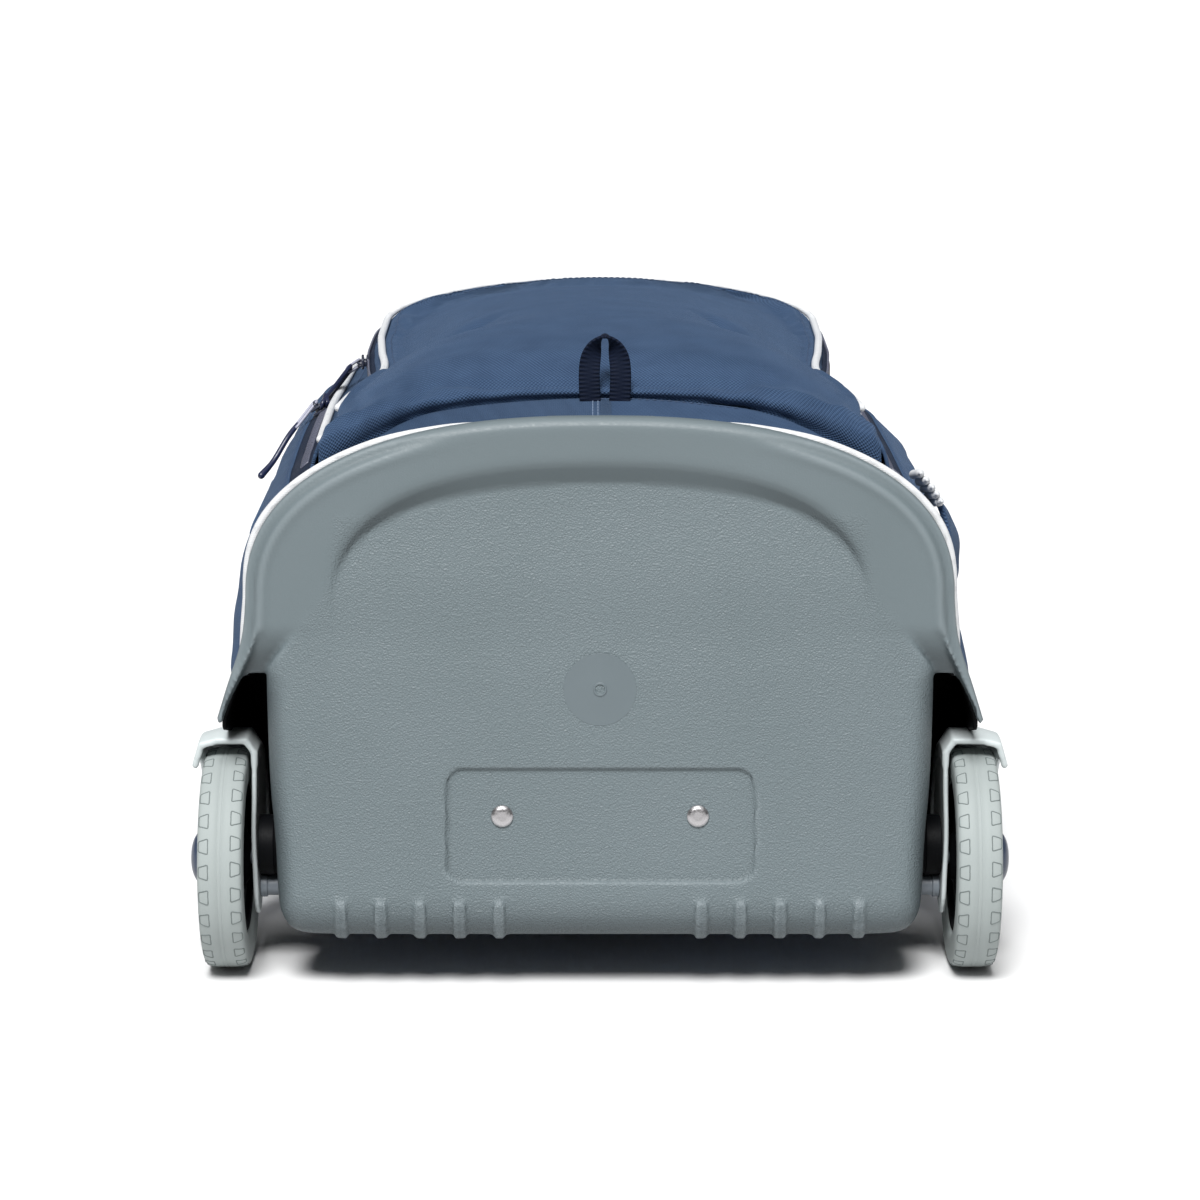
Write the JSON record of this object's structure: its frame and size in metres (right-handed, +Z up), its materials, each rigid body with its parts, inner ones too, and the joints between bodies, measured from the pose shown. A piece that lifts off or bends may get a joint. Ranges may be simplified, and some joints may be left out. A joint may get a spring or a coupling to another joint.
{
  "type": "wheeled bag",
  "caption": "Soft wheeled bag lying on its back: moulded base tray with guarded wheels, zipped main compartment, bulging front pocket, open side pouches and a haul loop.",
  "frame": {"origin": "on the floor that the bag lies on, under the middle of its box", "axes": "+Y from the base tray to the top end, +X to the right seen from the tray, +Z up from the floor"},
  "size_m": [0.373, 0.5496, 0.2912],
  "materials": {
    "tray_plastic": "fine pebble grain, mid grey",
    "guard_plastic": "smooth light grey",
    "tyre_rubber": "light grey with tread blocks",
    "black_plastic": "plain black",
    "post_plastic": "smooth grey",
    "cap_plastic": "smooth navy",
    "navy_cloth": "coarse woven polyester, navy",
    "dark_webbing": "woven webbing, very dark navy",
    "zip_tape": "zip tape with coil teeth, dark navy",
    "zip_hardware": "moulded, dark navy",
    "white_trim": "white",
    "steel": "plain steel"
  },
  "bodies": {
    "bag": {"base_tray": "tray_plastic", "fender_left": "guard_plastic", "fender_right": "guard_plastic", "well_liner_left": "black_plastic", "well_liner_right": "black_plastic", "wheel_boss_left": "black_plastic", "wheel_boss_right": "black_plastic", "pull_handle": "black_plastic", "fender_post_left": "post_plastic", "fender_post_right": "post_plastic", "body_shell": "navy_cloth", "front_panel": "navy_cloth", "front_pocket": "navy_cloth", "side_pocket_left": "navy_cloth", "side_pocket_right": "navy_cloth", "side_slip_pocket_right": "navy_cloth", "haul_loop": "dark_webbing", "main_zip": "zip_tape", "pocket_zip": "zip_tape", "main_zip_pull": "zip_hardware", "pocket_zip_pull": "zip_hardware", "pocket_zip_slider_far": "zip_hardware", "tray_piping": "white_trim", "main_piping": "white_trim", "pocket_piping": "white_trim", "gathered_elastic_right": "white_trim", "rivet_left": "steel", "rivet_right": "steel", "axle_left": "steel", "axle_right": "steel"},
    "wheel_left": {"tyre_left": "tyre_rubber", "hub_left": "black_plastic", "hub_cap_left": "cap_plastic"},
    "wheel_right": {"tyre_right": "tyre_rubber", "hub_right": "black_plastic", "hub_cap_right": "cap_plastic"}
  },
  "joints": [
    {"name": "wheel_left_spin", "type": "hinge", "parent": "bag", "child": "wheel_left", "pos_m": [-0.1692, -0.22424, 0.05], "axis": [1, 0, 0], "continuous": true},
    {"name": "wheel_right_spin", "type": "hinge", "parent": "bag", "child": "wheel_right", "pos_m": [0.1692, -0.22424, 0.05], "axis": [1, 0, 0], "continuous": true}
  ]
}
